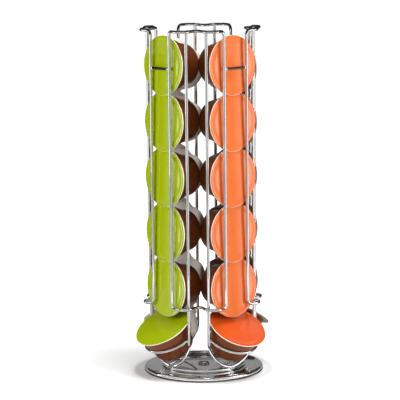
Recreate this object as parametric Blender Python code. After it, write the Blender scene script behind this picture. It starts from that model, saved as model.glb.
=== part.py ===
"""Turning rack of chromed wire for twenty-four flanged coffee capsules.

Four columns stand on the diagonals. Each column holds five capsules on edge,
one above the other, and a sixth that lies tilted in a cradle at the bottom.
Units are metres, +Z is up, and the origin is under the middle of the base.
"""
import math

import bmesh
import bpy
from mathutils import Matrix, Vector

MM = 0.001

# Clearance kept between pieces that touch
GAP = 0.3 * MM

# Capsule: a turned cup with a wide rim and a foil lid
RIM_D = 53.5 * MM
RIM_THICK = 1.2 * MM
BODY_D = 45.8 * MM
BACK_BODY_D = 42.5 * MM
SHOULDER_D = 44.8 * MM
SHOULDER_DEPTH = 11.1 * MM
CUP_D = 41.8 * MM
CUP_LOW_D = 37.2 * MM
DOME_DEPTH = 24.0 * MM
CAPSULE_DEPTH = 33.5 * MM
DOME_MID_DEPTH_SHARE = 0.63
DOME_MID_RADIUS_SHARE = 0.74
DOME_END_RADIUS_SHARE = 0.46
CAPSULE_SEGMENTS = 20
STACKED = 5
SHARP_ANGLE = math.radians(35.0)

# Places of the capsules, in the upright plane through a column
STACK_RADIUS = 44.1 * MM
CRADLED_RADIUS = 48.0 * MM
CRADLED_Z = 48.0 * MM
CRADLED_TILT = math.radians(58.0)

# Bent wire of the rack
WIRE_D = 2.8 * MM
HOOP_WIRE_D = 2.4 * MM
RING_WIRE_D = 3.3 * MM
WIRE_SIDES_RESOLUTION = 2

# Retainer: a closed wire in front of each gap between two columns
TOP_BAR_Z = 313.2 * MM
LOW_BAR_Z = 65.8 * MM
LEG_LATERAL = 24.2 * MM
LEG_DISTANCE = 42.7 * MM
LOBE_LATERAL = 18.3 * MM
LOBE_DISTANCE = 51.9 * MM
RECESS_DISTANCE = 40.2 * MM
RECESS_SIDE_ANGLE = math.radians(66.0)
LEG_BEND_R = 4.5 * MM
LOBE_BEND_R = 5.2 * MM
RECESS_BEND_R = 3.6 * MM
BEND_STEPS = 2
LEG_BEND_STEPS = 3

# Guide: one wire that runs down beside a column, round under it and up again
GUIDE_RADIUS = 39.6 * MM
GUIDE_HALF_WIDTH = 26.95 * MM
GUIDE_BEND_Z = 33.0 * MM
GUIDE_BEND_POWER = 1.15
GUIDE_BEND_STEPS = 16
GUIDE_SEAT_ANGLE = math.radians(43.4)

# Cradle hoop and cross brace
HOOP_END_Z = 36.1 * MM
HOOP_STEPS = 12
BRACE_DROP = 33.2 * MM

# Base: pressed plate with a wire ring on it
RING_STEPS = 40
PLATE_D = 109.2 * MM
PLATE_TOP_Z = 4.6 * MM
PLATE_SHEET = 1.0 * MM
PLATE_EDGE_R = 2.2 * MM
PLATE_RIM_Z = 0.6 * MM
PLATE_SEGMENTS = 48
EDGE_STEPS = 3

# Foot: the still disc under the plate, with its slide ring and rubber pads
FOOT_D = 88.0 * MM
FOOT_Z = 1.2 * MM
FOOT_SHEET = 0.8 * MM
BOSS_D = 30.0 * MM
BOSS_RISE = 1.1 * MM
BOSS_SLOPE = 2.0 * MM
FOOT_SEGMENTS = 36
SLIDE_RING_D = 64.0 * MM
SLIDE_RING_WIDTH = 6.0 * MM
PAD_D = 10.0 * MM
PAD_CIRCLE_R = 36.0 * MM
PAD_SEGMENTS = 16

# Pivot: screw, washer and lock nut on the axis
SCREW_D = 4.0 * MM
SCREW_HEAD_D = 10.4 * MM
SCREW_HEAD_H = 1.7 * MM
SCREW_HEAD_EDGE_H = 0.6 * MM
SCREW_HEAD_TOP_SHARE = 0.5
SCREW_FLOOR_GAP = 0.2 * MM
SLOT_WIDTH = 1.2 * MM
SLOT_DEPTH = 0.8 * MM
WASHER_D = 9.0 * MM
WASHER_THICK = 0.4 * MM
NUT_WIDTH = 7.0 * MM
NUT_H = 1.1 * MM
SCREW_SEGMENTS = 24
HEX_SIDES = 6
CUT_OVERRUN = 1.0 * MM

COLUMNS = {
    "front_left": math.radians(-135.0),
    "front_right": math.radians(-45.0),
    "back_right": math.radians(45.0),
    "back_left": math.radians(135.0),
}
# The kind of capsule at the back is narrower behind its rim, and stands closer
COLUMN_BODY_D = {
    "front_left": BODY_D,
    "front_right": BODY_D,
    "back_right": BACK_BODY_D,
    "back_left": BACK_BODY_D,
}
ARCHES = {
    "front": math.radians(-90.0),
    "right": 0.0,
    "back": math.radians(90.0),
    "left": math.radians(180.0),
}


def clear_scene():
    for old in list(bpy.data.objects):
        bpy.data.objects.remove(old, do_unlink=True)


def material(name, colour, roughness, metallic):
    made = bpy.data.materials.new(name)
    made.use_nodes = True
    shader = made.node_tree.nodes["Principled BSDF"]
    shader.inputs["Base Color"].default_value = (*colour, 1.0)
    shader.inputs["Roughness"].default_value = roughness
    shader.inputs["Metallic"].default_value = metallic
    return made


def add_object(name, data, looks=None, angle=0.0):
    """Object turned about the rack's axis. Looks are for data that has no material yet."""
    made = bpy.data.objects.new(name, data)
    bpy.context.scene.collection.objects.link(made)
    if not data.materials:
        data.materials.append(material(data.name, *looks))
    made.rotation_euler.z = angle
    return made


CHROME = ((0.80, 0.81, 0.83), 0.12, 1.0)
STEEL = ((0.62, 0.63, 0.65), 0.30, 1.0)
NYLON = ((0.86, 0.86, 0.83), 0.45, 0.0)
RUBBER = ((0.03, 0.03, 0.03), 0.80, 0.0)
LID_LOOKS = {
    "front_left": ((0.42, 0.56, 0.02), 0.35, 0.0),
    "front_right": ((0.95, 0.16, 0.03), 0.35, 0.0),
    "back_right": ((0.30, 0.12, 0.05), 0.35, 0.0),
    "back_left": ((0.62, 0.52, 0.40), 0.35, 0.0),
}
BODY_LOOKS = {
    "front_left": ((0.07, 0.022, 0.010), 0.35, 0.0),
    "front_right": ((0.07, 0.022, 0.010), 0.35, 0.0),
    "back_right": ((0.07, 0.022, 0.010), 0.35, 0.0),
    "back_left": ((0.50, 0.43, 0.36), 0.35, 0.0),
}


def rounded_path(corners, closed):
    """Points along straight runs joined by arcs.

    Each corner is (point, bend radius, steps). A corner of radius zero stays.
    """
    points = []
    count = len(corners)
    for index, (corner, radius, steps) in enumerate(corners):
        at_end = not closed and index in (0, count - 1)
        if at_end or radius == 0.0:
            points.append(corner)
            continue
        before = (corners[index - 1][0] - corner).normalized()
        after = (corners[(index + 1) % count][0] - corner).normalized()
        half_turn = (math.pi - before.angle(after)) / 2
        tangent = radius * math.tan(half_turn)
        middle = (before + after).normalized() * (radius / math.cos(half_turn))
        centre = corner + middle
        start = corner + before * tangent - centre
        end = corner + after * tangent - centre
        for step in range(steps + 1):
            points.append(centre + start.slerp(end, step / steps) * radius)
    return points


def wire_curve(name, points, diameter, closed):
    """Round wire along points, as a curve with a bevel and filled caps."""
    curve = bpy.data.curves.new(name, "CURVE")
    curve.dimensions = "3D"
    curve.bevel_depth = diameter / 2
    curve.bevel_resolution = WIRE_SIDES_RESOLUTION
    curve.use_fill_caps = True
    spline = curve.splines.new("POLY")
    spline.points.add(len(points) - 1)
    for target, point in zip(spline.points, points):
        target.co = (*point, 1.0)
        target.radius = 1.0
    spline.use_cyclic_u = closed
    spline.use_smooth = True
    return curve


def turned_mesh(name, outline, steps, ring):
    """Solid of revolution about Z from (radius, height) points.

    A ring's outline is closed on itself. Any other outline starts and ends
    off the axis, and its two ends are capped.
    """
    mesh = bpy.data.meshes.new(name)
    shape = bmesh.new()
    verts = [shape.verts.new((radius, 0.0, height)) for radius, height in outline]
    pairs = list(zip(verts, verts[1:]))
    if ring:
        pairs.append((verts[-1], verts[0]))
    edges = [shape.edges.new(pair) for pair in pairs]
    bmesh.ops.spin(
        shape, geom=verts + edges, axis=(0.0, 0.0, 1.0), cent=(0.0, 0.0, 0.0),
        angle=math.tau, steps=steps, use_merge=True, use_duplicate=False)
    if not ring:
        rims = [edge for edge in shape.edges if edge.is_boundary]
        bmesh.ops.holes_fill(shape, edges=rims, sides=0)
    bmesh.ops.recalc_face_normals(shape, faces=shape.faces)
    shape.to_mesh(mesh)
    shape.free()
    mesh.shade_smooth()
    mesh.set_sharp_from_angle(angle=SHARP_ANGLE)
    return mesh


# Capsule

def capsule_outline(body_d):
    """(depth behind the lid, radius) down the outer side of a capsule."""
    dome_length = CAPSULE_DEPTH - DOME_DEPTH
    dome_radius = CUP_LOW_D / 2
    return [
        (0.0, RIM_D / 2),
        (RIM_THICK, RIM_D / 2),
        (RIM_THICK, body_d / 2),
        (SHOULDER_DEPTH, SHOULDER_D / 2),
        (SHOULDER_DEPTH, CUP_D / 2),
        (DOME_DEPTH, dome_radius),
        (DOME_DEPTH + dome_length * DOME_MID_DEPTH_SHARE, dome_radius * DOME_MID_RADIUS_SHARE),
        (CAPSULE_DEPTH, dome_radius * DOME_END_RADIUS_SHARE),
    ]


def capsule_mesh(column):
    """Capsule with its lid at the origin, facing +X, and its body behind."""
    outline = [(radius, -depth) for depth, radius in capsule_outline(COLUMN_BODY_D[column])]
    mesh = turned_mesh("capsule_" + column, outline, CAPSULE_SEGMENTS, False)
    mesh.transform(Matrix.Rotation(math.pi / 2, 4, "Y"))
    mesh.materials.append(material("body_" + column, *BODY_LOOKS[column]))
    mesh.materials.append(material("lid_" + column, *LID_LOOKS[column]))
    for face in mesh.polygons:
        on_lid = all(mesh.vertices[index].co.x > -RIM_THICK / 2 for index in face.vertices)
        face.material_index = 1 if on_lid else 0
    return mesh


# A stacked capsule leans back, so that its rim hangs in front of the next one's,
# and its body stands on that rim.
RIM_OVERLAP_DEPTH = RIM_THICK + GAP


def body_on_rim(body_d):
    """Distance between two stacked capsules' axes, which the wall over the rim sets."""
    wall_share = RIM_OVERLAP_DEPTH / (SHOULDER_DEPTH - RIM_THICK)
    far_d = body_d + (SHOULDER_D - body_d) * wall_share
    return (RIM_D + max(body_d, far_d)) / 2 + GAP


def lean(body_d):
    return math.atan2(RIM_OVERLAP_DEPTH, body_on_rim(body_d))


def stack_pitch(body_d):
    return math.hypot(RIM_OVERLAP_DEPTH, body_on_rim(body_d))


def cradled_point(depth, drop):
    """(radius, height) of a point of the cradled capsule in a column's plane.

    The depth runs from the lid along the capsule's axis, and the drop runs
    from that axis square to it, outwards and down.
    """
    cos, sin = math.cos(CRADLED_TILT), math.sin(CRADLED_TILT)
    radius = CRADLED_RADIUS - depth * cos + drop * sin
    height = CRADLED_Z - depth * sin - drop * cos
    return radius, height


def stacked_under_side(body_d):
    """(radius, drop below the lid's middle) along a stacked capsule's under side."""
    cos, sin = math.cos(lean(body_d)), math.sin(lean(body_d))
    points = []
    for depth, radius in capsule_outline(body_d):
        across = STACK_RADIUS - depth * cos + radius * sin
        drop = depth * sin + radius * cos
        points.append((across, drop))
    return points


def lowest_stack_height(body_d):
    """Height of the lowest stacked lid, whose body stands on the cradled rim."""
    rim_radius, rim_height = cradled_point(0.0, -RIM_D / 2)
    under = stacked_under_side(body_d)
    far_end = next(
        (index for index, (across, drop) in enumerate(under) if across <= rim_radius),
        len(under) - 1)
    near, near_drop = under[far_end - 1]
    far, far_drop = under[far_end]
    slope = (near_drop - far_drop) / (near - far)
    drop = far_drop + slope * (rim_radius - far)
    return rim_height + drop + GAP * math.hypot(1.0, slope)


def capsule_frame(angle, radius, height, tilt):
    turn = Matrix.Rotation(angle, 4, "Z")
    shift = Matrix.Translation((radius, 0.0, height))
    return turn @ shift @ Matrix.Rotation(-tilt, 4, "Y")


def add_capsules(column, angle, carousel):
    mesh = capsule_mesh(column)
    below, below_frame = carousel, Matrix.Identity(4)
    body_d = COLUMN_BODY_D[column]
    for place in range(STACKED):
        height = lowest_stack_height(body_d) + place * stack_pitch(body_d)
        frame = capsule_frame(angle, STACK_RADIUS, height, lean(body_d))
        capsule = add_object("capsule_%s_%d" % (column, place + 1), mesh)
        capsule.parent = below
        capsule.matrix_local = below_frame.inverted() @ frame
        below, below_frame = capsule, frame
    cradled = add_object("capsule_%s_cradled" % column, mesh)
    cradled.parent = carousel
    cradled.matrix_local = capsule_frame(angle, CRADLED_RADIUS, CRADLED_Z, CRADLED_TILT)


# Wire rack

def rod_lateral():
    """Sideways distance of a guide rod from the middle of its arch."""
    return (GUIDE_RADIUS - GUIDE_HALF_WIDTH) / math.sqrt(2)


def rod_distance():
    """Distance of a guide rod from the rack's axis, square to its arch."""
    return (GUIDE_RADIUS + GUIDE_HALF_WIDTH) / math.sqrt(2)


def bar_corners():
    """(distance, lateral, bend radius, steps) along half of a retainer bar.

    The side of the recess passes just outside the guide rod.
    """
    reach = WIRE_D + GAP
    touch_lateral = rod_lateral() - reach * math.sin(RECESS_SIDE_ANGLE)
    touch_distance = rod_distance() + reach * math.cos(RECESS_SIDE_ANGLE)
    slope = math.tan(RECESS_SIDE_ANGLE)
    lobe_inner = touch_lateral + (LOBE_DISTANCE - touch_distance) / slope
    recess = touch_lateral - (touch_distance - RECESS_DISTANCE) / slope
    return [
        (LEG_DISTANCE, LEG_LATERAL, LEG_BEND_R, LEG_BEND_STEPS),
        (LOBE_DISTANCE, LOBE_LATERAL, LOBE_BEND_R, BEND_STEPS),
        (LOBE_DISTANCE, lobe_inner, LOBE_BEND_R, BEND_STEPS),
        (RECESS_DISTANCE, recess, RECESS_BEND_R, BEND_STEPS),
    ]


def add_retainers(carousel):
    half = bar_corners()
    bar = half + [
        (distance, -lateral, bend, steps) for distance, lateral, bend, steps in half[::-1]]
    corners = []
    for height, run in ((TOP_BAR_Z, bar), (LOW_BAR_Z, bar[::-1])):
        for distance, lateral, bend, steps in run:
            corners.append((Vector((distance, lateral, height)), bend, steps))
    curve = wire_curve("retainer", rounded_path(corners, True), WIRE_D, True)
    for arch, angle in ARCHES.items():
        add_object("retainer_loop_" + arch, curve, CHROME, angle).parent = carousel


def seat_reach():
    """Distance between the middles of a guide's wire and the base ring's wire."""
    return (WIRE_D + RING_WIRE_D) / 2 + GAP


def add_guides(carousel):
    """Guides whose lowest points lie on the shoulder of the base ring's wire."""
    foot = ring_height() + seat_reach() * math.cos(GUIDE_SEAT_ANGLE)
    points = [Vector((GUIDE_RADIUS, GUIDE_HALF_WIDTH, TOP_BAR_Z))]
    for step in range(GUIDE_BEND_STEPS + 1):
        turn = math.pi * step / GUIDE_BEND_STEPS
        across = math.copysign(abs(math.cos(turn)) ** GUIDE_BEND_POWER, math.cos(turn))
        down = abs(math.sin(turn)) ** GUIDE_BEND_POWER
        height = GUIDE_BEND_Z - (GUIDE_BEND_Z - foot) * down
        points.append(Vector((GUIDE_RADIUS, GUIDE_HALF_WIDTH * across, height)))
    points.append(Vector((GUIDE_RADIUS, -GUIDE_HALF_WIDTH, TOP_BAR_Z)))
    curve = wire_curve("guide", points, WIRE_D, False)
    for column, angle in COLUMNS.items():
        add_object("guide_wire_" + column, curve, CHROME, angle).parent = carousel


def add_hoops(carousel):
    """Half-round hoops on the guides, each under the shoulder of its capsule."""
    half = HOOP_WIRE_D / 2
    tip_radius, tip_height = cradled_point(SHOULDER_DEPTH + GAP + half, CUP_D / 2 + GAP + half)
    end_width = GUIDE_HALF_WIDTH - WIRE_D / 2 - GAP - half
    points = []
    for step in range(HOOP_STEPS + 1):
        turn = math.pi * step / HOOP_STEPS
        reach = math.sin(turn)
        points.append(Vector((
            GUIDE_RADIUS + (tip_radius - GUIDE_RADIUS) * reach,
            end_width * math.cos(turn),
            HOOP_END_Z + (tip_height - HOOP_END_Z) * reach)))
    curve = wire_curve("hoop", points, HOOP_WIRE_D, False)
    for column, angle in COLUMNS.items():
        add_object("cradle_hoop_" + column, curve, CHROME, angle).parent = carousel


def add_braces(carousel):
    """Short wires between the two retainer legs in front of each column."""
    leg_radius = (LEG_DISTANCE + LEG_LATERAL) / math.sqrt(2)
    leg_offset = (LEG_DISTANCE - LEG_LATERAL) / math.sqrt(2)
    end = leg_offset - WIRE_D / 2 - GAP
    height = TOP_BAR_Z - BRACE_DROP
    points = [Vector((leg_radius, side * end, height)) for side in (1, -1)]
    curve = wire_curve("brace", points, HOOP_WIRE_D, False)
    for column, angle in COLUMNS.items():
        add_object("cross_brace_" + column, curve, CHROME, angle).parent = carousel


# Base

def ring_height():
    return PLATE_TOP_Z + GAP + RING_WIRE_D / 2


def add_base_ring(carousel):
    radius = GUIDE_RADIUS - seat_reach() * math.sin(GUIDE_SEAT_ANGLE)
    points = []
    for step in range(RING_STEPS):
        turn = math.tau * step / RING_STEPS
        points.append(Vector((radius * math.cos(turn), radius * math.sin(turn), ring_height())))
    curve = wire_curve("base_ring", points, RING_WIRE_D, True)
    add_object("base_ring", curve, CHROME).parent = carousel


def bore_radius():
    return SCREW_D / 2 + GAP


def plate_edge(radius, top, bend):
    """Outline points round the bend from a plate's top to its skirt."""
    points = []
    for step in range(EDGE_STEPS + 1):
        turn = math.pi / 2 * step / EDGE_STEPS
        points.append((radius - bend + bend * math.sin(turn), top - bend + bend * math.cos(turn)))
    return points


def add_base_plate(carousel):
    outer = PLATE_D / 2
    inner = outer - PLATE_SHEET
    under = PLATE_TOP_Z - PLATE_SHEET
    outline = [(bore_radius(), PLATE_TOP_Z)]
    outline += plate_edge(outer, PLATE_TOP_Z, PLATE_EDGE_R)
    outline += [(outer, PLATE_RIM_Z), (inner, PLATE_RIM_Z)]
    outline += plate_edge(inner, under, PLATE_EDGE_R - PLATE_SHEET)[::-1]
    outline += [(bore_radius(), under)]
    mesh = turned_mesh("base_plate", outline, PLATE_SEGMENTS, True)
    add_object("base_plate", mesh, CHROME).parent = carousel


def add_foot():
    """Still disc with a raised middle, which leaves room for the nut under it."""
    top = FOOT_Z + FOOT_SHEET
    flat = BOSS_D / 2
    outline = [
        (bore_radius(), top + BOSS_RISE),
        (flat, top + BOSS_RISE),
        (flat + BOSS_SLOPE, top),
        (FOOT_D / 2, top),
        (FOOT_D / 2, FOOT_Z),
        (flat + BOSS_SLOPE, FOOT_Z),
        (flat, FOOT_Z + BOSS_RISE),
        (bore_radius(), FOOT_Z + BOSS_RISE),
    ]
    add_object("foot_plate", turned_mesh("foot_plate", outline, FOOT_SEGMENTS, True), STEEL)


def add_slide_ring():
    low = FOOT_Z + FOOT_SHEET + GAP
    high = PLATE_TOP_Z - PLATE_SHEET - GAP
    outer = SLIDE_RING_D / 2
    inner = outer - SLIDE_RING_WIDTH
    outline = [(inner, high), (outer, high), (outer, low), (inner, low)]
    add_object("slide_ring", turned_mesh("slide_ring", outline, FOOT_SEGMENTS, True), NYLON)


def add_pads():
    radius = PAD_D / 2
    mesh = turned_mesh("rubber_pad", [(radius, FOOT_Z - GAP), (radius, 0.0)], PAD_SEGMENTS, False)
    for index, angle in enumerate(COLUMNS.values()):
        pad = add_object("rubber_pad_%d" % (index + 1), mesh, RUBBER)
        pad.location = (PAD_CIRCLE_R * math.cos(angle), PAD_CIRCLE_R * math.sin(angle), 0.0)


def add_screw():
    """Slotted screw whose head shows on the plate and whose end holds the nut."""
    seat = PLATE_TOP_Z + GAP
    outline = [
        (SCREW_HEAD_D / 2 * SCREW_HEAD_TOP_SHARE, seat + SCREW_HEAD_H),
        (SCREW_HEAD_D / 2, seat + SCREW_HEAD_EDGE_H),
        (SCREW_HEAD_D / 2, seat),
        (SCREW_D / 2, seat),
        (SCREW_D / 2, SCREW_FLOOR_GAP),
    ]
    screw_mesh = turned_mesh("pivot_screw", outline, SCREW_SEGMENTS, False)
    screw = add_object("pivot_screw", screw_mesh, STEEL)
    mesh = bpy.data.meshes.new("slot_cutter")
    shape = bmesh.new()
    bmesh.ops.create_cube(shape, size=1.0)
    shape.to_mesh(mesh)
    shape.free()
    cutter = bpy.data.objects.new("slot_cutter", mesh)
    bpy.context.scene.collection.objects.link(cutter)
    height = SLOT_DEPTH + CUT_OVERRUN
    cutter.scale = (SCREW_HEAD_D + CUT_OVERRUN, SLOT_WIDTH, height)
    cutter.location.z = seat + SCREW_HEAD_H - SLOT_DEPTH + height / 2
    cutter.hide_render = True
    cutter.display_type = "WIRE"
    slot = screw.modifiers.new("slot", "BOOLEAN")
    slot.operation = "DIFFERENCE"
    slot.solver = "EXACT"
    slot.object = cutter


def bored_disc(name, radius, top, thickness, sides):
    """Flat disc, or prism, with the pivot's bore through it."""
    hole, low = bore_radius(), top - thickness
    outline = [(hole, top), (radius, top), (radius, low), (hole, low)]
    add_object(name, turned_mesh(name, outline, sides, True), STEEL)


def add_washer_and_nut():
    under = FOOT_Z + BOSS_RISE - GAP
    bored_disc("pivot_washer", WASHER_D / 2, under, WASHER_THICK, SCREW_SEGMENTS)
    corner = NUT_WIDTH / 2 / math.cos(math.pi / HEX_SIDES)
    bored_disc("lock_nut", corner, under - WASHER_THICK - GAP, NUT_H, HEX_SIDES)


def main():
    clear_scene()
    carousel = bpy.data.objects.new("carousel_axis", None)
    bpy.context.scene.collection.objects.link(carousel)
    add_retainers(carousel)
    add_guides(carousel)
    add_hoops(carousel)
    add_braces(carousel)
    add_base_ring(carousel)
    add_base_plate(carousel)
    for column, angle in COLUMNS.items():
        add_capsules(column, angle, carousel)
    add_foot()
    add_slide_ring()
    add_pads()
    add_screw()
    add_washer_and_nut()


main()
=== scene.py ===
"""Looks of the turning capsule rack: chromed wire, a mirror plate and capsules.

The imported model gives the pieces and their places. Sizes here are in metres,
in the model's own frame, and repeat the model's.
"""

import math

import bmesh
import bpy
from mathutils import Matrix, Vector, noise


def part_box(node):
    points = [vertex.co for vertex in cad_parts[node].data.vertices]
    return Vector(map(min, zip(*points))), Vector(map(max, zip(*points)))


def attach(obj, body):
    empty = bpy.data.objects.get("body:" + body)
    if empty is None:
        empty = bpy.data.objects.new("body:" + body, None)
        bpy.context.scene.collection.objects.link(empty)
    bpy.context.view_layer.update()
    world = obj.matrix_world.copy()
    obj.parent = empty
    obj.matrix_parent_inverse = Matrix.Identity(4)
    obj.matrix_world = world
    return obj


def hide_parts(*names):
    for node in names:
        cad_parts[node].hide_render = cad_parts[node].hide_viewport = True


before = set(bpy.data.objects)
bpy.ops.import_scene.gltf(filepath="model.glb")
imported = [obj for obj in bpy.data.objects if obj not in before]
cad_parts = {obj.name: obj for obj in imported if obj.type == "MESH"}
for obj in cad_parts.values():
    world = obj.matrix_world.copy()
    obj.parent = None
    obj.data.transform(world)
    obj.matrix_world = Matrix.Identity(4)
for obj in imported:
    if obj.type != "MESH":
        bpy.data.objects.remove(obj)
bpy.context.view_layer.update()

MM = 0.001
GAP = 0.3 * MM

# Capsule
RIM_R = 26.75 * MM
RIM_THICK = 1.2 * MM
BODY_R = 22.9 * MM
BACK_BODY_R = 21.25 * MM
SHOULDER_R = 22.4 * MM
SHOULDER_DEPTH = 11.1 * MM
CUP_R = 20.9 * MM
CUP_LOW_R = 18.6 * MM
DOME_DEPTH = 24.0 * MM
CAPSULE_DEPTH = 33.5 * MM
DOME_POWER = 1.12
DOME_STEPS = 14
SHELL_FACE_DEPTH = 0.6 * MM
SHELL_FACE_INSET = 0.6 * MM
SHOULDER_BEND_R = 0.6 * MM
CUP_BEND_R = 0.4 * MM
RIM_FACE_DEPTH = 0.3 * MM
RIM_INSET = 0.4 * MM
RIM_FRONT_BEND_R = 0.22 * MM
RIM_BACK_BEND_R = 0.35 * MM
KNURL_INNER_R = 23.6 * MM
KNURL_OUTER_R = 25.6 * MM
KNURL_COUNT = 180.0
# The foil disc, drawn in a little inside its knurled ring, as (depth, radius)
LID_OUTLINE = (
    (0.05 * MM, 0.0), (0.05 * MM, 8.0 * MM), (0.05 * MM, 15.0 * MM), (0.05 * MM, 20.0 * MM),
    (0.06 * MM, 23.2 * MM), (0.02 * MM, KNURL_INNER_R), (0.02 * MM, KNURL_OUTER_R),
    (0.05 * MM, 26.1 * MM), (0.14 * MM, 26.5 * MM), (0.26 * MM, 26.55 * MM),
    (0.40 * MM, 26.3 * MM), (0.42 * MM, 0.0),
)
STACK_RADIUS = 44.1 * MM
CRADLED_RADIUS = 48.0 * MM
CRADLED_Z = 48.0 * MM
CRADLED_TILT = math.radians(58.0)
CAPSULE_SEGMENTS = 96
# Turn of each capsule about its own axis from the one before, in radians
CAPSULE_SPIN = 2.4

# Wires
WIRE_D = 2.8 * MM
WIRE_ROUNDNESS = 6
HOOP_WIRE_D = 2.4 * MM
RING_WIRE_D = 3.3 * MM
TOP_BAR_Z = 313.2 * MM
LOW_BAR_Z = 65.8 * MM
LEG_LATERAL = 24.2 * MM
LEG_DISTANCE = 42.7 * MM
LOBE_LATERAL = 18.3 * MM
LOBE_DISTANCE = 51.9 * MM
RECESS_DISTANCE = 40.2 * MM
RECESS_SIDE_ANGLE = math.radians(66.0)
LEG_BEND_R = 4.5 * MM
LOBE_BEND_R = 5.2 * MM
RECESS_BEND_R = 3.6 * MM
BEND_STEPS = 10
GUIDE_RADIUS = 39.6 * MM
GUIDE_HALF_WIDTH = 26.95 * MM
GUIDE_BEND_Z = 33.0 * MM
GUIDE_BEND_POWER = 1.15
GUIDE_BEND_STEPS = 72
GUIDE_SEAT_ANGLE = math.radians(43.4)
HOOP_END_Z = 36.1 * MM
HOOP_STEPS = 48
BRACE_Z = TOP_BAR_Z - 33.2 * MM
BRACE_SHARES = (1.0, 0.5, 0.0, -0.5, -1.0)

# Beads of weld, as (radius, stretch along the bead's own axes)
BAR_BEAD = (1.35 * MM, (1.0, 1.0, 1.15))
BRACE_BEAD = (1.65 * MM, (0.9, 0.9, 1.0))
HOOP_BEAD = (1.3 * MM, (1.0, 0.8, 1.2))
GUIDE_BEAD = (1.7 * MM, (1.0, 1.5, 1.0))
RING_BEAD = (1.5 * MM, (1.2, 1.6, 0.5))
BRACE_BEAD_INSET = 0.7 * WIRE_D
RING_BEAD_RISE = 0.45 * MM
BEAD_SUBDIVISIONS = 3
LUMP_SCALE = 1.7
LUMP_SHARE = 0.22
LUMP_SHIFT = (3.1, 1.7)

# Base
PLATE_R = 54.6 * MM
PLATE_TOP_Z = 4.6 * MM
PLATE_SHEET = 1.0 * MM
PLATE_EDGE_R = 2.2 * MM
PLATE_RIM_Z = 0.6 * MM
PLATE_LIP_R = 0.3 * MM
PLATE_BEND_STEPS = 9
PLATE_SEGMENTS = 192
RING_POINTS = 160
SCREW_R = 2.0 * MM
SCREW_END_Z = 0.2 * MM
SCREW_HEAD_R = 5.2 * MM
SCREW_HEAD_H = 1.7 * MM
SCREW_SIDE_H = 0.5 * MM
SCREW_HEAD_STEPS = 8
SCREW_SEGMENTS = 64
SLOT_SIZE = (12.0 * MM, 1.2 * MM, 2.0 * MM)
SLOT_RISE = 0.2 * MM

COLUMNS = {
    "front_left": math.radians(-135.0),
    "front_right": math.radians(-45.0),
    "back_right": math.radians(45.0),
    "back_left": math.radians(135.0),
}
COLUMN_BODY_R = {
    "front_left": BODY_R,
    "front_right": BODY_R,
    "back_right": BACK_BODY_R,
    "back_left": BACK_BODY_R,
}
ARCHES = {
    "front": math.radians(-90.0),
    "right": 0.0,
    "back": math.radians(90.0),
    "left": math.radians(180.0),
}
STACKED = 5

# Edges with a wider angle than this, in degrees, stay sharp
SHARP_ANGLE = 30.0
WIRE_SHARP_ANGLE = 50.0
MERGE_DISTANCE = 0.001 * MM


# Materials

WHITE = (1.0, 1.0, 1.0, 1.0)
BLACK = (0.0, 0.0, 0.0, 1.0)
NOISE_LOW, NOISE_HIGH = 0.25, 0.75
# Colour sockets of a Mix node
MIX_FIRST, MIX_SECOND, MIX_RESULT = 6, 7, 2


class Looks:
    """A material's nodes, with short calls to add and join them."""

    def __init__(self, name, local=False, **surface):
        self.local = local
        self.material = bpy.data.materials.new(name)
        self.material.use_nodes = True
        self.tree = self.material.node_tree
        self.shader = self.tree.nodes["Principled BSDF"]
        for socket, value in surface.items():
            self.shader.inputs[socket.replace("_", " ")].default_value = value

    def add(self, kind, inputs=None, **settings):
        node = self.tree.nodes.new(kind)
        for key, value in settings.items():
            setattr(node, key, value)
        for key, value in (inputs or {}).items():
            if hasattr(value, "is_output"):
                self.tree.links.new(value, node.inputs[key])
            else:
                node.inputs[key].default_value = value
        return node

    def place(self, stretch=(1.0, 1.0, 1.0)):
        """Coordinates in metres: the rack's own, or those along a capsule's own axes."""
        if self.local:
            coordinates = self.add("ShaderNodeAttribute", attribute_name="local").outputs["Vector"]
        else:
            coordinates = self.add("ShaderNodeTexCoord").outputs["Object"]
        stretched = self.add(
            "ShaderNodeVectorMath", {0: coordinates, 1: stretch}, operation="MULTIPLY")
        return stretched.outputs[0]

    def noise(self, scale, detail, roughness=0.5, stretch=(1.0, 1.0, 1.0)):
        return self.add("ShaderNodeTexNoise", {
            "Vector": self.place(stretch), "Scale": scale, "Detail": detail,
            "Roughness": roughness}).outputs["Fac"]

    def remap(self, value, low, high):
        """A noise's usual span, brought to low and high."""
        return self.add("ShaderNodeMapRange", {
            "Value": value, "From Min": NOISE_LOW, "From Max": NOISE_HIGH,
            "To Min": low, "To Max": high}).outputs[0]

    def math(self, operation, first, second=0.0):
        return self.add("ShaderNodeMath", {0: first, 1: second}, operation=operation).outputs[0]

    def bump(self, height, distance, strength=1.0, under=None):
        inputs = {"Height": height, "Distance": distance, "Strength": strength}
        if under is not None:
            inputs["Normal"] = under
        return self.add("ShaderNodeBump", inputs).outputs[0]

    def give(self, socket, value):
        self.tree.links.new(value, self.shader.inputs[socket])

    def tone(self, colour, shade, **grain):
        """Base colour that drifts from one to the other."""
        node = self.add("ShaderNodeMix", data_type="RGBA")
        self.tree.links.new(self.remap(self.noise(**grain), 0.0, 1.0), node.inputs[0])
        node.inputs[MIX_FIRST].default_value = (*colour, 1.0)
        node.inputs[MIX_SECOND].default_value = (*shade, 1.0)
        self.give("Base Color", node.outputs[MIX_RESULT])

    def haze(self, low, high, **grain):
        """Roughness that drifts from low to high."""
        self.give("Roughness", self.remap(self.noise(**grain), low, high))

    def relief(self, distance, strength=1.0, under=None, **grain):
        """Bump from a noise, laid over the one under it."""
        return self.bump(self.noise(**grain), distance, strength, under)


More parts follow.
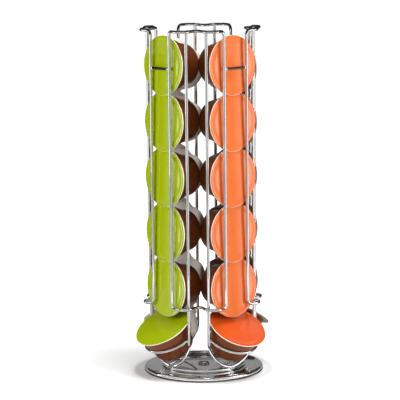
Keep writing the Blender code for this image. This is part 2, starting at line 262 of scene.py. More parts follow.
def chrome(name, colour, shade, rough, peel):
    """Bright plating over drawn or pressed steel: slight tone, haze and orange peel."""
    looks = Looks(name, Metallic=1.0)
    looks.tone(colour, shade, scale=90.0, detail=4.0)
    looks.haze(*rough, scale=240.0, detail=5.0, roughness=0.6)
    looks.give("Normal", looks.relief(peel, scale=420.0, detail=2.0))
    return looks.material


def weld_metal():
    """Plated weld: the same metal, lumpier and duller."""
    looks = Looks("weld_metal", Metallic=0.75)
    looks.tone((0.97, 0.97, 0.97), (0.80, 0.80, 0.81), scale=700.0, detail=3.0)
    looks.haze(0.08, 0.28, scale=900.0, detail=4.0)
    looks.give("Normal", looks.relief(0.12 * MM, scale=1200.0, detail=3.0))
    return looks.material


def foil(name, colour, shade, coat=0.05):
    """Lacquered foil lid: a knurled ring near the edge, faint waves and a fine emboss."""
    looks = Looks(
        name, local=True, Metallic=0.10, Specular_IOR_Level=0.02,
        Coat_Weight=1.0, Coat_Roughness=coat, Coat_IOR=1.5)
    looks.tone(colour, shade, scale=38.0, detail=3.0, stretch=(0.4, 1.0, 0.6))
    looks.haze(0.20, 0.28, scale=160.0, detail=4.0)
    _, across, up = looks.add("ShaderNodeSeparateXYZ", {0: looks.place()}).outputs
    radius = looks.math("SQRT", looks.math(
        "ADD", looks.math("MULTIPLY", across, across), looks.math("MULTIPLY", up, up)))
    turn = looks.math("ARCTAN2", across, up)
    knurl = looks.math("SINE", looks.math("MULTIPLY", turn, KNURL_COUNT))
    on_ring = looks.math(
        "MULTIPLY", looks.math("GREATER_THAN", radius, KNURL_INNER_R),
        looks.math("LESS_THAN", radius, KNURL_OUTER_R))
    ring = looks.bump(looks.math("MULTIPLY", knurl, on_ring), 0.02 * MM)
    waves = looks.relief(
        0.05 * MM, 0.07, ring, scale=30.0, detail=1.0, roughness=0.4, stretch=(1.0, 1.0, 0.4))
    looks.give("Normal", looks.relief(0.002 * MM, under=waves, scale=900.0, detail=2.0))
    return looks.material


def shell(name, colour, shade, metal):
    """Moulded capsule wall: half gloss, with faint flow marks and a fine grain."""
    looks = Looks(
        name, local=True, Metallic=metal, Specular_IOR_Level=0.22,
        Coat_Weight=0.08, Coat_Roughness=0.12, Coat_IOR=1.5)
    looks.tone(
        colour, shade, scale=60.0, detail=4.0, roughness=0.55, stretch=(0.3, 1.0, 1.0))
    looks.haze(0.26, 0.40, scale=220.0, detail=4.0)
    flow = looks.relief(0.08 * MM, scale=70.0, detail=2.0, stretch=(0.4, 1.0, 1.0))
    looks.give("Normal", looks.relief(0.008 * MM, under=flow, scale=1500.0, detail=2.0))
    return looks.material


def rim_plastic(name, colour, shade):
    """Pale pressed edge round a lid."""
    looks = Looks(name, local=True, Coat_Weight=0.3, Coat_Roughness=0.15)
    looks.tone(colour, shade, scale=120.0, detail=4.0)
    looks.haze(0.28, 0.42, scale=300.0, detail=4.0)
    looks.give("Normal", looks.relief(0.01 * MM, scale=1400.0, detail=2.0))
    return looks.material


def plain_metal(name, colour, shade, rough):
    """Zinc or bare pressed steel with rolling marks."""
    looks = Looks(name, Metallic=1.0)
    looks.tone(
        colour, shade, scale=260.0, detail=5.0, roughness=0.6, stretch=(1.0, 0.12, 1.0))
    looks.haze(*rough, scale=416.0, detail=4.0)
    looks.give("Normal", looks.relief(
        0.02 * MM, scale=1040.0, detail=3.0, stretch=(1.0, 0.2, 1.0)))
    return looks.material


def dull_plastic(name, colour, shade, rough, grain):
    """Slide plastic or rubber with a fine grain."""
    looks = Looks(name)
    looks.tone(colour, shade, scale=200.0, detail=5.0, roughness=0.6)
    looks.haze(*rough, scale=350.0, detail=4.0)
    looks.give("Normal", looks.relief(grain, scale=1800.0, detail=3.0))
    return looks.material


WIRE_CHROME = chrome(
    "wire_chrome", (0.90, 0.90, 0.90), (0.80, 0.81, 0.82), rough=(0.03, 0.09), peel=0.02 * MM)
# Chrome like the wires', darkened to near black for the braces: painted dark reflection.
BRACE_PAINTED_DARK_CHROME = chrome(
    "brace_painted_dark_chrome", (0.17, 0.165, 0.155), (0.11, 0.105, 0.095), rough=(0.05, 0.12),
    peel=0.02 * MM)
PLATE_CHROME = chrome(
    "plate_chrome", (0.80, 0.795, 0.785), (0.70, 0.695, 0.685), rough=(0.03, 0.08),
    peel=0.004 * MM)
WELD = weld_metal()
ZINC = plain_metal("screw_zinc", (0.46, 0.46, 0.45), (0.30, 0.30, 0.30), rough=(0.10, 0.22))
STEEL = plain_metal("bare_steel", (0.56, 0.56, 0.57), (0.42, 0.42, 0.43), rough=(0.28, 0.45))
NYLON = dull_plastic(
    "slide_nylon", (0.84, 0.84, 0.80), (0.74, 0.74, 0.69), rough=(0.38, 0.55),
    grain=0.02 * MM)
RUBBER = dull_plastic(
    "pad_rubber", (0.030, 0.030, 0.030), (0.045, 0.044, 0.043), rough=(0.70, 0.88),
    grain=0.05 * MM)

LIDS = {
    "front_left": (foil("foil_lime", (0.352, 0.438, 0.0), (0.380, 0.464, 0.001)), "lime_foil"),
    "front_right": (
        foil("foil_orange", (0.66, 0.137, 0.030), (0.69, 0.152, 0.036)), "orange_foil"),
    "back_right": (foil("foil_brown", (0.20, 0.070, 0.028), (0.25, 0.092, 0.038)), "brown_foil"),
    "back_left": (foil("foil_beige", (0.50, 0.39, 0.28), (0.56, 0.44, 0.32)), "beige_foil"),
}
# The cradled capsules' lids are lit copies of the lid foils: the lime is painted lighter and the
# orange a deeper red for the light that falls on them, and their coat is rougher.
CRADLED_LIDS_PAINTED_LIGHT = {
    "front_left": foil("foil_lime_cradled_painted_light", (0.365, 0.462, 0.0), (0.395, 0.490, 0.0), coat=0.20),
    "front_right": foil(
        "foil_orange_cradled_painted_light", (0.665, 0.079, 0.007), (0.695, 0.091, 0.010), coat=0.20),
}
BROWN_SHELL = shell("shell_brown", (0.192, 0.049, 0.012), (0.143, 0.035, 0.009), metal=0.25)
BEIGE_SHELL = shell("shell_beige", (0.78, 0.72, 0.64), (0.70, 0.64, 0.57), metal=0.0)
SHELLS = {
    "front_left": (BROWN_SHELL, "brown_shell"),
    "front_right": (BROWN_SHELL, "brown_shell"),
    "back_right": (BROWN_SHELL, "brown_shell"),
    "back_left": (BEIGE_SHELL, "beige_shell"),
}
RIMS = {
    "front_left": rim_plastic("rim_lime", (0.95, 0.94, 0.78), (0.92, 0.91, 0.72)),
    "front_right": rim_plastic("rim_orange", (0.97, 0.90, 0.80), (0.95, 0.86, 0.74)),
    "back_right": rim_plastic("rim_brown", (0.52, 0.41, 0.33), (0.44, 0.34, 0.27)),
    "back_left": rim_plastic("rim_beige", (0.82, 0.77, 0.70), (0.75, 0.70, 0.63)),
}


# Shapes

def add_piece(name, data, looks, body, matrix=None, replaces=()):
    """Object that rides on a body and stands for the given nodes.

    Its place goes into its mesh, which keeps its own axes in an attribute.
    """
    if matrix is not None:
        data = data.copy()
        data.name = name
        local = data.attributes.new("local", "FLOAT_VECTOR", "POINT")
        local.data.foreach_set("vector", [value for vert in data.vertices for value in vert.co])
        data.transform(matrix)
    made = bpy.data.objects.new(name, data)
    bpy.context.scene.collection.objects.link(made)
    if looks is not None and not data.materials:
        data.materials.append(looks)
    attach(made, body)
    if replaces:
        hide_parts(*replaces)
    return made


def smooth(mesh, angle=SHARP_ANGLE):
    """Smooth shading, but for the edges past the angle in degrees."""
    mesh.shade_smooth()
    mesh.set_sharp_from_angle(angle=math.radians(angle))
    return mesh


def turned(name, outline, steps, closed=False):
    """Solid of revolution about X from (depth, radius) points.

    A closed outline makes a ring. Any other starts and ends on the axis.
    """
    mesh = bpy.data.meshes.new(name)
    shape = bmesh.new()
    verts = [shape.verts.new((-depth, 0.0, radius)) for depth, radius in outline]
    pairs = list(zip(verts, verts[1:]))
    if closed:
        pairs.append((verts[-1], verts[0]))
    edges = [shape.edges.new(pair) for pair in pairs]
    bmesh.ops.spin(
        shape, geom=verts + edges, axis=(1.0, 0.0, 0.0), cent=(0.0, 0.0, 0.0),
        angle=math.tau, steps=steps, use_merge=True, use_duplicate=False)
    bmesh.ops.remove_doubles(shape, verts=shape.verts, dist=MERGE_DISTANCE)
    bmesh.ops.recalc_face_normals(shape, faces=shape.faces)
    shape.to_mesh(mesh)
    shape.free()
    return smooth(mesh)


def fillet(points, steps=5):
    """Outline with each middle corner (depth, radius, bend) rounded by an arc."""
    path = []
    for index, (depth, radius, bend) in enumerate(points):
        corner = Vector((depth, radius))
        if bend == 0.0 or index in (0, len(points) - 1):
            path.append(corner)
            continue
        before = (Vector(points[index - 1][:2]) - corner).normalized()
        after = (Vector(points[index + 1][:2]) - corner).normalized()
        half = (math.pi - before.angle(after)) / 2
        tangent = bend * math.tan(half)
        centre = corner + (before + after).normalized() * (bend / math.cos(half))
        start = corner + before * tangent - centre
        end = corner + after * tangent - centre
        sweep = start.angle_signed(end)
        for step in range(steps + 1):
            turn = -sweep * step / steps
            cos, sin = math.cos(turn), math.sin(turn)
            path.append(centre + Vector((
                start.x * cos - start.y * sin, start.x * sin + start.y * cos)))
    return [tuple(point) for point in path]


def rounded_path(corners):
    """Closed path of straight runs joined by arcs. Each corner is (point, bend radius)."""
    points = []
    count = len(corners)
    for index, (corner, radius) in enumerate(corners):
        before = (corners[index - 1][0] - corner).normalized()
        after = (corners[(index + 1) % count][0] - corner).normalized()
        half = (math.pi - before.angle(after)) / 2
        tangent = radius * math.tan(half)
        centre = corner + (before + after).normalized() * (radius / math.cos(half))
        start = corner + before * tangent - centre
        end = corner + after * tangent - centre
        for step in range(BEND_STEPS + 1):
            points.append(centre + start.slerp(end, step / BEND_STEPS) * radius)
    return points


def wire(name, points, diameter, closed):
    """Round wire along points. An open wire's ends are capped."""
    curve = bpy.data.curves.new(name, "CURVE")
    curve.dimensions = "3D"
    curve.bevel_depth = diameter / 2
    curve.bevel_resolution = WIRE_ROUNDNESS
    curve.use_fill_caps = True
    spline = curve.splines.new("POLY")
    spline.points.add(len(points) - 1)
    for target, point in zip(spline.points, points):
        target.co = (*point, 1.0)
    spline.use_cyclic_u = closed
    holder = bpy.data.objects.new(name, curve)
    mesh = bpy.data.meshes.new_from_object(holder)
    mesh.name = name
    bpy.data.objects.remove(holder)
    bpy.data.curves.remove(curve)
    mesh.materials.clear()
    mesh.materials.append(WIRE_CHROME)
    return smooth(mesh, WIRE_SHARP_ANGLE)


def weld_blob(name, seed, radius, stretch):
    """Lumpy bead of weld metal, stretched along its local axes."""
    mesh = bpy.data.meshes.new(name)
    shape = bmesh.new()
    bmesh.ops.create_icosphere(shape, subdivisions=BEAD_SUBDIVISIONS, radius=1.0)
    shift = Vector((seed * LUMP_SHIFT[0], seed * LUMP_SHIFT[1], 0.0))
    for vert in shape.verts:
        lump = noise.noise(vert.co * LUMP_SCALE + shift)
        stretched = Vector(vert.co[axis] * stretch[axis] for axis in range(3))
        vert.co = stretched * radius * (1.0 + LUMP_SHARE * lump)
    shape.to_mesh(mesh)
    shape.free()
    mesh.shade_smooth()
    mesh.materials.append(WELD)
    return mesh


# Capsules

def shell_outline(body_r):
    """Outer wall of a capsule from under its lid to the middle of its dome."""
    outline = fillet([
        (SHELL_FACE_DEPTH, 0.0, 0.0),
        (SHELL_FACE_DEPTH, body_r - SHELL_FACE_INSET, 0.0),
        (RIM_THICK, body_r, 0.0),
        (SHOULDER_DEPTH, SHOULDER_R, SHOULDER_BEND_R),
        (SHOULDER_DEPTH, CUP_R, CUP_BEND_R),
        (DOME_DEPTH, CUP_LOW_R, 0.0),
    ])
    dome = CAPSULE_DEPTH - DOME_DEPTH
    for step in range(1, DOME_STEPS + 1):
        turn = math.pi / 2 * step / DOME_STEPS
        outline.append((
            DOME_DEPTH + dome * math.sin(turn), CUP_LOW_R * math.cos(turn) ** DOME_POWER))
    outline[-1] = (CAPSULE_DEPTH, 0.0)
    return outline


def rim_outline():
    """Pale ring between the foil's edge and the shell's wall."""
    inner = BACK_BODY_R - RIM_INSET
    return fillet([
        (RIM_FACE_DEPTH, inner, 0.0), (RIM_FACE_DEPTH, RIM_R, RIM_FRONT_BEND_R),
        (RIM_THICK, RIM_R, RIM_BACK_BEND_R), (RIM_THICK, inner, 0.0)])


def capsule_place(angle, radius, height, tilt, spin):
    """Place of a capsule, which is turned about its own axis by spin."""
    seat = Matrix.Rotation(angle, 4, "Z") @ Matrix.Translation((radius, 0.0, height))
    return seat @ Matrix.Rotation(-tilt, 4, "Y") @ Matrix.Rotation(spin, 4, "X")


def lean(body_r):
    """Angle by which a stacked capsule leans back, with its rim in front of the next one's."""
    far_r = body_r + (SHOULDER_R - body_r) * (RIM_THICK + GAP) / (SHOULDER_DEPTH - RIM_THICK)
    return math.atan2(RIM_THICK + GAP, RIM_R + max(body_r, far_r) + GAP)


def add_capsules():
    for column, angle in COLUMNS.items():
        body_r = COLUMN_BODY_R[column]
        tilt = lean(body_r)
        shell_looks, shell_slot = SHELLS[column]
        shell_mesh = turned("shell_" + column, shell_outline(body_r), CAPSULE_SEGMENTS)
        lid_mesh = turned("lid_" + column, LID_OUTLINE, CAPSULE_SEGMENTS)
        rim_mesh = turned("rim_" + column, rim_outline(), CAPSULE_SEGMENTS, closed=True)
        names = ["capsule_%s_%d" % (column, place + 1) for place in range(STACKED)]
        for place, name in enumerate(names + ["capsule_%s_cradled" % column]):
            spin = CAPSULE_SPIN * place + angle
            lid_looks, lid_slot = LIDS[column]
            if place == STACKED:
                matrix = capsule_place(angle, CRADLED_RADIUS, CRADLED_Z, CRADLED_TILT, spin)
                lid_looks = CRADLED_LIDS_PAINTED_LIGHT.get(column, lid_looks)
            else:
                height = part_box(name)[1].z - RIM_R * math.cos(tilt)
                matrix = capsule_place(angle, STACK_RADIUS, height, tilt, spin)
            add_piece(name + "_shell", shell_mesh, shell_looks, name, matrix, [name])
            add_piece(name + "_lid", lid_mesh, lid_looks, name, matrix)
            add_piece(name + "_rim", rim_mesh, RIMS[column], name, matrix)


# Wire rack

ROD_LATERAL = (GUIDE_RADIUS - GUIDE_HALF_WIDTH) / math.sqrt(2)
ROD_DISTANCE = (GUIDE_RADIUS + GUIDE_HALF_WIDTH) / math.sqrt(2)
RING_Z = PLATE_TOP_Z + GAP + RING_WIRE_D / 2
SEAT_REACH = (WIRE_D + RING_WIRE_D) / 2 + GAP
GUIDE_FOOT_Z = RING_Z + SEAT_REACH * math.cos(GUIDE_SEAT_ANGLE)
RING_RADIUS = GUIDE_RADIUS - SEAT_REACH * math.sin(GUIDE_SEAT_ANGLE)
HOOP_END_WIDTH = GUIDE_HALF_WIDTH - WIRE_D / 2 - GAP - HOOP_WIRE_D / 2
LEG_RADIUS = (LEG_DISTANCE + LEG_LATERAL) / math.sqrt(2)
LEG_OFFSET = (LEG_DISTANCE - LEG_LATERAL) / math.sqrt(2)


def rod_touch():
    """(distance, lateral) where a retainer bar passes the guide rod."""
    reach = WIRE_D + GAP
    return (
        ROD_DISTANCE + reach * math.cos(RECESS_SIDE_ANGLE),
        ROD_LATERAL - reach * math.sin(RECESS_SIDE_ANGLE))


def add_retainers():
    touch_distance, touch_lateral = rod_touch()
    slope = math.tan(RECESS_SIDE_ANGLE)
    lobe_lateral = touch_lateral + (LOBE_DISTANCE - touch_distance) / slope
    recess_lateral = touch_lateral - (touch_distance - RECESS_DISTANCE) / slope
    half = [
        (LEG_DISTANCE, LEG_LATERAL, LEG_BEND_R),
        (LOBE_DISTANCE, LOBE_LATERAL, LOBE_BEND_R),
        (LOBE_DISTANCE, lobe_lateral, LOBE_BEND_R),
        (RECESS_DISTANCE, recess_lateral, RECESS_BEND_R),
    ]
    bar = half + [(distance, -lateral, bend) for distance, lateral, bend in half[::-1]]
    corners = []
    for height, run in ((TOP_BAR_Z, bar), (LOW_BAR_Z, bar[::-1])):
        corners += [(Vector((distance, lateral, height)), bend) for distance, lateral, bend in run]
    curve = wire("retainer", rounded_path(corners), WIRE_D, True)
    for arch, angle in ARCHES.items():
        add_piece(
            "retainer_" + arch, curve, None, "carousel",
            Matrix.Rotation(angle, 4, "Z"), ["retainer_loop_" + arch])


def add_guides():
    points = [Vector((GUIDE_RADIUS, GUIDE_HALF_WIDTH, TOP_BAR_Z))]
    for step in range(GUIDE_BEND_STEPS + 1):
        turn = math.pi * step / GUIDE_BEND_STEPS
        across = math.copysign(abs(math.cos(turn)) ** GUIDE_BEND_POWER, math.cos(turn))
        down = abs(math.sin(turn)) ** GUIDE_BEND_POWER
        height = GUIDE_BEND_Z - (GUIDE_BEND_Z - GUIDE_FOOT_Z) * down
        points.append(Vector((GUIDE_RADIUS, GUIDE_HALF_WIDTH * across, height)))
    points.append(Vector((GUIDE_RADIUS, -GUIDE_HALF_WIDTH, TOP_BAR_Z)))
    curve = wire("guide", points, WIRE_D, False)
    for column, angle in COLUMNS.items():
        add_piece(
            "guide_" + column, curve, None, "carousel",
            Matrix.Rotation(angle, 4, "Z"), ["guide_wire_" + column])


def add_hoops():
    half = HOOP_WIRE_D / 2
    depth = SHOULDER_DEPTH + GAP + half
    drop = CUP_R + GAP + half
    cos, sin = math.cos(CRADLED_TILT), math.sin(CRADLED_TILT)
    tip_radius = CRADLED_RADIUS - depth * cos + drop * sin
    tip_height = CRADLED_Z - depth * sin - drop * cos
    points = []
    for step in range(HOOP_STEPS + 1):
        turn = math.pi * step / HOOP_STEPS
        reach = math.sin(turn)
        points.append(Vector((
            GUIDE_RADIUS + (tip_radius - GUIDE_RADIUS) * reach,
            HOOP_END_WIDTH * math.cos(turn),
            HOOP_END_Z + (tip_height - HOOP_END_Z) * reach)))
    curve = wire("hoop", points, HOOP_WIRE_D, False)
    for column, angle in COLUMNS.items():
        add_piece(
            "hoop_" + column, curve, None, "carousel",
            Matrix.Rotation(angle, 4, "Z"), ["cradle_hoop_" + column])


def add_braces():
    end = LEG_OFFSET - WIRE_D / 2 - GAP
    points = [Vector((LEG_RADIUS, end * share, BRACE_Z)) for share in BRACE_SHARES]
    curve = wire("brace", points, HOOP_WIRE_D, False)
    curve.materials[0] = BRACE_PAINTED_DARK_CHROME
    for column, angle in COLUMNS.items():
        add_piece(
            "brace_" + column, curve, None, "carousel",
            Matrix.Rotation(angle, 4, "Z"), ["cross_brace_" + column])


def add_welds():
    """A bead at each joint between two wires."""
    touch_distance, touch_lateral = rod_touch()
    bar_distance = (ROD_DISTANCE + touch_distance) / 2
    bar_lateral = (ROD_LATERAL + touch_lateral) / 2
    beads = []
    for angle in ARCHES.values():
        for side in (1, -1):
            for height in (TOP_BAR_Z, LOW_BAR_Z):
                beads.append((angle, (bar_distance, side * bar_lateral, height), BAR_BEAD))
    for angle in COLUMNS.values():
        for side in (1, -1):
            brace_lateral = side * (LEG_OFFSET - BRACE_BEAD_INSET)
            hoop_lateral = side * (HOOP_END_WIDTH + HOOP_WIRE_D / 2)
            beads.append((angle, (LEG_RADIUS, brace_lateral, BRACE_Z), BRACE_BEAD))
            beads.append((angle, (GUIDE_RADIUS, hoop_lateral, HOOP_END_Z), HOOP_BEAD))
        guide_seat = ((GUIDE_RADIUS + RING_RADIUS) / 2, 0.0, (GUIDE_FOOT_Z + RING_Z) / 2)
        beads.append((angle, guide_seat, GUIDE_BEAD))
        beads.append((angle, (RING_RADIUS, 0.0, PLATE_TOP_Z + RING_BEAD_RISE), RING_BEAD))
    for index, (angle, place, (radius, stretch)) in enumerate(beads):
        turn = Matrix.Rotation(angle, 4, "Z")
        name = "weld_%02d" % (index + 1)
        add_piece(
            name, weld_blob(name, index, radius, stretch), None, "carousel",
            Matrix.Translation(turn @ Vector(place)) @ turn)


# Base

UPRIGHT = Matrix.Rotation(-math.pi / 2, 4, "Y")


def upright(name, outline, steps, closed=False):
    """Turned mesh about Z. The outline is (height, radius)."""
    mesh = turned(name, [(-height, radius) for height, radius in outline], steps, closed)
    mesh.transform(UPRIGHT)
    return mesh


def add_base_ring():
    turns = [math.tau * step / RING_POINTS for step in range(RING_POINTS)]
    points = [
        Vector((RING_RADIUS * math.cos(turn), RING_RADIUS * math.sin(turn), RING_Z))
        for turn in turns]
    mesh = wire("ring_wire", points, RING_WIRE_D, True)
    add_piece("ring_wire", mesh, None, "carousel", None, ["base_ring"])


def add_base_plate():
    bore = SCREW_R + GAP
    under = PLATE_TOP_Z - PLATE_SHEET
    inner_r = PLATE_R - PLATE_SHEET
    outline = fillet([
        (PLATE_TOP_Z, bore, 0.0), (PLATE_TOP_Z, PLATE_R, PLATE_EDGE_R),
        (PLATE_RIM_Z, PLATE_R, PLATE_LIP_R), (PLATE_RIM_Z, inner_r, PLATE_LIP_R),
        (under, inner_r, PLATE_EDGE_R - PLATE_SHEET), (under, bore, 0.0)], PLATE_BEND_STEPS)
    mesh = upright("plate", outline, PLATE_SEGMENTS, closed=True)
    add_piece("plate", mesh, PLATE_CHROME, "carousel", None, ["base_plate"])


def add_screw():
    """Domed screw head with a slot, over its shank."""
    seat = PLATE_TOP_Z + GAP
    top = seat + SCREW_HEAD_H
    outline = [(top, 0.0)]
    for step in range(1, SCREW_HEAD_STEPS + 1):
        turn = math.pi / 2 * step / SCREW_HEAD_STEPS
        dome = (SCREW_HEAD_H - SCREW_SIDE_H) * math.cos(turn)
        outline.append((seat + SCREW_SIDE_H + dome, SCREW_HEAD_R * math.sin(turn)))
    outline += [
        (seat, SCREW_HEAD_R), (seat, SCREW_R), (SCREW_END_Z, SCREW_R), (SCREW_END_Z, 0.0)]
    made = add_piece(
        "screw", upright("screw", outline, SCREW_SEGMENTS), ZINC, "foot", None,
        ["pivot_screw"])
    mesh = bpy.data.meshes.new("slot_cutter")
    shape = bmesh.new()
    bmesh.ops.create_cube(shape, size=1.0)
    bmesh.ops.scale(shape, verts=shape.verts, vec=SLOT_SIZE)
    bmesh.ops.translate(shape, verts=shape.verts, vec=(0.0, 0.0, top + SLOT_RISE))
    shape.to_mesh(mesh)
    shape.free()
    cutter = bpy.data.objects.new("slot_cutter", mesh)
    bpy.context.scene.collection.objects.link(cutter)
    cut = made.modifiers.new("slot", "BOOLEAN")
    cut.object = cutter
    bpy.context.view_layer.objects.active = made
    bpy.ops.object.modifier_apply(modifier=cut.name)
    bpy.data.objects.remove(cutter)
    smooth(made.data)


def dress_nodes():
    """Materials for the nodes that keep their own shape."""
    dressed = {
        "foot_plate": STEEL, "slide_ring": NYLON, "pivot_washer": ZINC, "lock_nut": ZINC,
        "rubber_pad_1": RUBBER, "rubber_pad_2": RUBBER,
        "rubber_pad_3": RUBBER, "rubber_pad_4": RUBBER,
    }
    for name, looks in dressed.items():
        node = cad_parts[name]
        node.data.materials.clear()
        node.data.materials.append(looks)


# Camera

CAMERA_AZIMUTH = math.radians(4.857)
CAMERA_DISTANCE = 1722.1 * MM
CAMERA_HEIGHT = 429.1 * MM
CAMERA_HEADING = math.radians(4.921)
CAMERA_PITCH = math.radians(8.975)
CAMERA_ROLL = math.radians(-0.589)
SENSOR_WIDTH_MM = 36.0
LENS_MM = 172.53
CLIP_START, CLIP_END = 0.05, 100.0


def add_camera():
    camera = bpy.data.cameras.new("camera")
    camera.sensor_width = SENSOR_WIDTH_MM
    camera.lens = LENS_MM
    camera.clip_start = CLIP_START
    camera.clip_end = CLIP_END
    holder = bpy.data.objects.new("camera", camera)
    bpy.context.scene.collection.objects.link(holder)
    place = Matrix.Translation((
        CAMERA_DISTANCE * math.sin(CAMERA_AZIMUTH),
        -CAMERA_DISTANCE * math.cos(CAMERA_AZIMUTH), CAMERA_HEIGHT))
    pitch = math.pi / 2 - CAMERA_PITCH
    turn = Matrix.Rotation(CAMERA_HEADING, 4, "Z") @ Matrix.Rotation(pitch, 4, "X")
    holder.matrix_world = place @ turn @ Matrix.Rotation(CAMERA_ROLL, 4, "Z")
    bpy.context.scene.camera = holder


# Floor and light

STAGE_MIDDLE = (0.0, 0.0, 0.15)
FLOOR_COLOUR = (0.80, 0.80, 0.80, 1.0)
FLOOR_ROUGHNESS = 0.9
FLOOR_RADIUS = 12.0
FLOOR_SEGMENTS = 96
# Two rises of the floor's glow away from the rack: (start radius, end radius, level). No glow
# inside the first start radius, which paints a dark contact shadow line round the plate.
FLOOR_GLOW = ((0.0620, 0.0670, 0.30), (0.07, 0.32, 0.50))
WORLD_FILL = 0.30

# The walls stand in a drum round the rack and give what its metal and lids mirror
DRUM_R = 0.22
PATCH_R = 0.218
FOOT_Z = 0.002
DRUM_Z = 0.30
HIGH_Z = 0.50
WALL_STEP_DEGREES = 5.0
# (name, start and end azimuth in degrees, low and high end, level at start and end)
WALLS = (
    ("wall_front", -123.0, -63.0, 0.13, DRUM_Z, 0.29, 0.29),
    ("wall_front_middle", -123.0, -63.0, 0.055, 0.13, 0.45, 0.45),
    ("wall_front_low", -123.0, -63.0, 0.030, 0.055, 1.20, 1.20),
    ("wall_front_base", -123.0, -63.0, FOOT_Z, 0.030, 0.60, 0.60),
    ("wall_front_right", -63.0, -38.0, 0.05, DRUM_Z, 0.50, 0.80),
    ("wall_front_right_low", -63.0, -38.0, FOOT_Z, 0.05, 0.60, 0.80),
    ("wall_right", -38.0, -17.5, FOOT_Z, DRUM_Z, 0.90, 1.6),
    ("box_right_start", -17.5, -15.2, FOOT_Z, DRUM_Z, 5.5, 2.8),
    ("box_right", -15.2, -12.8, FOOT_Z, DRUM_Z, 2.2, 0.0),
    ("wall_right_middle", -12.8, -11.7, FOOT_Z, 0.284, 0.02, 0.02),
    ("box_right_far", -11.7, -6.2, FOOT_Z, DRUM_Z, 0.0, 5.2),
    ("box_right_end", -6.2, -2.0, FOOT_Z, DRUM_Z, 1.3, 1.0),
    ("wall_right_back", -2.0, 22.0, 0.075, DRUM_Z, 0.03, 0.03),
    ("wall_back_right", 22.0, 84.0, 0.075, DRUM_Z, 0.03, 0.03),
    ("patch_right_low", 40.0, 50.0, 0.250, 0.282, 1.4, 3.4),
    ("patch_right_high", 40.0, 50.0, 0.282, 0.296, 0.6, 1.6),
    ("wall_back_right_low", -2.0, 80.0, FOOT_Z, 0.075, 0.20, 0.30),
    ("wall_back_low", 80.0, 104.0, FOOT_Z, 0.049, 0.02, 0.02),
    ("wall_back_left", 104.0, 163.0, 0.075, DRUM_Z, 0.03, 0.03),
    ("wall_back_left_low", 104.0, 163.0, FOOT_Z, 0.075, 0.33, 0.22),
    ("wall_left_low", 163.0, 183.2, FOOT_Z, 0.05, 0.60, 0.60),
    ("wall_left", 163.0, 183.2, 0.05, 0.284, 0.0, 0.0),
    ("wall_left_top", 181.0, 183.2, 0.284, DRUM_Z, 0.0, 0.6),
    ("box_left", 183.2, 185.7, FOOT_Z, DRUM_Z, 0.1, 1.6),
    ("box_left_end", 185.7, 188.2, FOOT_Z, DRUM_Z, 2.6, 7.0),
    ("box_left_side", 188.2, 237.0, 0.16, DRUM_Z, 1.3, 1.1),
    ("box_left_low", 188.2, 237.0, FOOT_Z, 0.16, 0.55, 0.55),
    ("wall_left_high", 104.0, 250.0, DRUM_Z, HIGH_Z, 0.02, 0.02),
    ("wall_right_high", -70.0, 84.0, DRUM_Z, HIGH_Z, 0.02, 0.02),
)

RING_HEIGHT = 0.3 * MM
RING_PARTS = 48
# Flat rings on the floor, as (name, inner radius, outer radius, level)
RINGS = (
    # The near-black ring round the plate, seen only in reflections, is a painted contact shadow
    # that the plate's rolled edge mirrors.
    ("ring_painted_contact_shadow", 0.055, 0.0605, 0.05),
    ("ring_dark", 0.085, 0.15, 0.05),
    ("ring_grey", 0.15, DRUM_R, 0.62),
)
# Flat cards, as (name, size, place, target, level)
CARDS = (
    ("card_back", (1.8, 0.9), (-0.1, 1.5, 0.45), (0.0, 0.0, 0.3), 0.32),
    ("card_top", (0.27, 0.27), (0.0, 0.0, 0.335), STAGE_MIDDLE, 0.02),
)
# Lamps that face the rack's middle, as (name, size, place, power in watts)
LAMPS = (
    ("key", (0.6, 0.6), (0.30, -0.20, 1.20), 10.5),
    ("side_left", (0.5, 0.9), (-1.41, -0.95, 0.75), 17.0),
    ("side_right", (0.5, 0.9), (1.60, -0.55, 0.65), 19.0),
)


def seen_ray(tree):
    """1 for rays from the camera, and for those that metal and glass send on."""
    path = tree.nodes.new("ShaderNodeLightPath")
    total = path.outputs["Is Camera Ray"]
    for other in ("Is Glossy Ray", "Is Transmission Ray"):
        both = tree.nodes.new("ShaderNodeMath")
        both.operation = "MAXIMUM"
        tree.links.new(total, both.inputs[0])
        tree.links.new(path.outputs[other], both.inputs[1])
        total = both.outputs[0]
    return total


def facing(place, target):
    """Turn of something at place whose -Z side faces the target."""
    return (Vector(target) - Vector(place)).to_track_quat("-Z", "Y")


def add_stage(name, shape, looks, matrix=None):
    mesh = bpy.data.meshes.new(name)
    shape.to_mesh(mesh)
    shape.free()
    mesh.materials.append(looks.material)
    made = bpy.data.objects.new(name, mesh)
    bpy.context.scene.collection.objects.link(made)
    if matrix is not None:
        made.matrix_world = matrix
    return made


def add_floor():
    """Pale floor that stays white where it is lit and keeps the rack's shadow. Its glow is left
    out right round the plate, which paints a dark contact shadow line under the plate's edge.
    """
    looks = Looks(
        "floor", Base_Color=FLOOR_COLOUR, Roughness=FLOOR_ROUGHNESS, Specular_IOR_Level=0.0,
        Emission_Color=WHITE)
    radius = looks.add("ShaderNodeVectorMath", {
        0: looks.add("ShaderNodeTexCoord").outputs["Object"]}, operation="LENGTH")
    low, high = (
        looks.add("ShaderNodeMapRange", {
            "Value": radius.outputs["Value"], "From Min": start, "From Max": end,
            "To Max": rise}).outputs[0]
        for start, end, rise in FLOOR_GLOW)
    glow = looks.math("ADD", low, high)
    looks.give("Emission Strength", looks.math("MULTIPLY", seen_ray(looks.tree), glow))
    shape = bmesh.new()
    bmesh.ops.create_circle(
        shape, cap_ends=True, segments=FLOOR_SEGMENTS, radius=FLOOR_RADIUS)
    add_stage("floor", shape, looks)


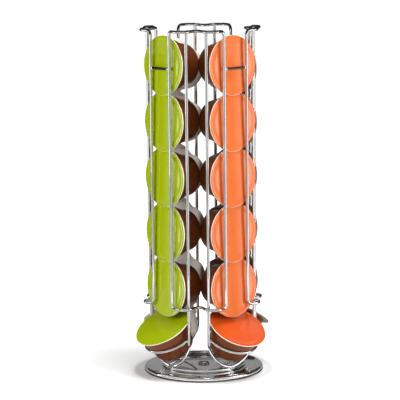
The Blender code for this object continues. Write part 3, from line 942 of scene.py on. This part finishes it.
def glowing(name, level):
    """Black surface that gives off an even level."""
    return Looks(
        name, Base_Color=BLACK, Specular_IOR_Level=0.0,
        Emission_Color=(level, level, level, 1.0), Emission_Strength=1.0)


def add_reflected(name, shape, looks, matrix=None):
    """Stage piece that only shows as a reflection."""
    made = add_stage(name, shape, looks, matrix)
    made.visible_camera = False
    made.visible_diffuse = False
    made.visible_shadow = False


def add_card(name, size, place, target, level):
    shape = bmesh.new()
    bmesh.ops.create_grid(shape, x_segments=1, y_segments=1, size=0.5)
    bmesh.ops.scale(shape, verts=shape.verts, vec=(*size, 1.0))
    turn = facing(place, target).to_matrix().to_4x4()
    add_reflected(name, shape, glowing(name, level), Matrix.Translation(place) @ turn)


def add_wall(name, start, end, low, high, start_level, end_level):
    """Part of a drum round the rack, whose level runs from one azimuth to the other."""
    radius = PATCH_R if name.startswith("patch") else DRUM_R
    shape = bmesh.new()
    share = shape.verts.layers.float.new("share")
    steps = max(2, round((end - start) / WALL_STEP_DEGREES))
    rows = []
    for step in range(steps + 1):
        turn = math.radians(start + (end - start) * step / steps)
        across, along = radius * math.cos(turn), radius * math.sin(turn)
        rows.append([shape.verts.new((across, along, height)) for height in (low, high)])
        for vert in rows[-1]:
            vert[share] = step / steps
    for first, second in zip(rows, rows[1:]):
        shape.faces.new((first[0], second[0], second[1], first[1]))
    looks = glowing(name, 1.0)
    place = looks.add("ShaderNodeAttribute", attribute_name="share").outputs["Fac"]
    ramp = looks.add("ShaderNodeMapRange", {
        "Value": place, "To Min": start_level, "To Max": end_level})
    looks.give("Emission Strength", ramp.outputs[0])
    add_reflected(name, shape, looks)


def add_ring(name, inner, outer, level):
    """Flat ring just over the floor, which the plate and the wires' lower parts mirror."""
    shape = bmesh.new()
    rows = []
    for step in range(RING_PARTS + 1):
        turn = math.tau * step / RING_PARTS
        rows.append([
            shape.verts.new((radius * math.cos(turn), radius * math.sin(turn), RING_HEIGHT))
            for radius in (inner, outer)])
    for first, second in zip(rows, rows[1:]):
        shape.faces.new((first[0], first[1], second[1], second[0]))
    add_reflected(name, shape, glowing(name, level))


def add_world():
    """Even light all round, and white where it is seen or mirrored."""
    world = bpy.data.worlds.new("studio")
    bpy.context.scene.world = world
    world.use_nodes = True
    tree = world.node_tree
    background = tree.nodes["Background"]
    background.inputs["Color"].default_value = WHITE
    level = tree.nodes.new("ShaderNodeMapRange")
    level.inputs["To Min"].default_value = WORLD_FILL
    level.inputs["To Max"].default_value = 1.0
    tree.links.new(seen_ray(tree), level.inputs["Value"])
    tree.links.new(level.outputs[0], background.inputs["Strength"])


def add_lamp(name, size, place, power):
    lamp = bpy.data.lights.new(name, "AREA")
    lamp.shape = "RECTANGLE"
    lamp.size, lamp.size_y = size
    lamp.energy = power
    holder = bpy.data.objects.new(name, lamp)
    bpy.context.scene.collection.objects.link(holder)
    holder.location = place
    holder.rotation_euler = facing(place, STAGE_MIDDLE).to_euler()


def add_studio():
    add_floor()
    add_world()
    for card in CARDS:
        add_card(*card)
    for ring in RINGS:
        add_ring(*ring)
    for wall in WALLS:
        add_wall(*wall)
    for lamp in LAMPS:
        add_lamp(*lamp)


def main():
    add_camera()
    add_capsules()
    add_retainers()
    add_guides()
    add_hoops()
    add_braces()
    add_welds()
    add_base_ring()
    add_base_plate()
    add_screw()
    dress_nodes()
    add_studio()
    bpy.context.scene.view_settings.view_transform = "Standard"


main()
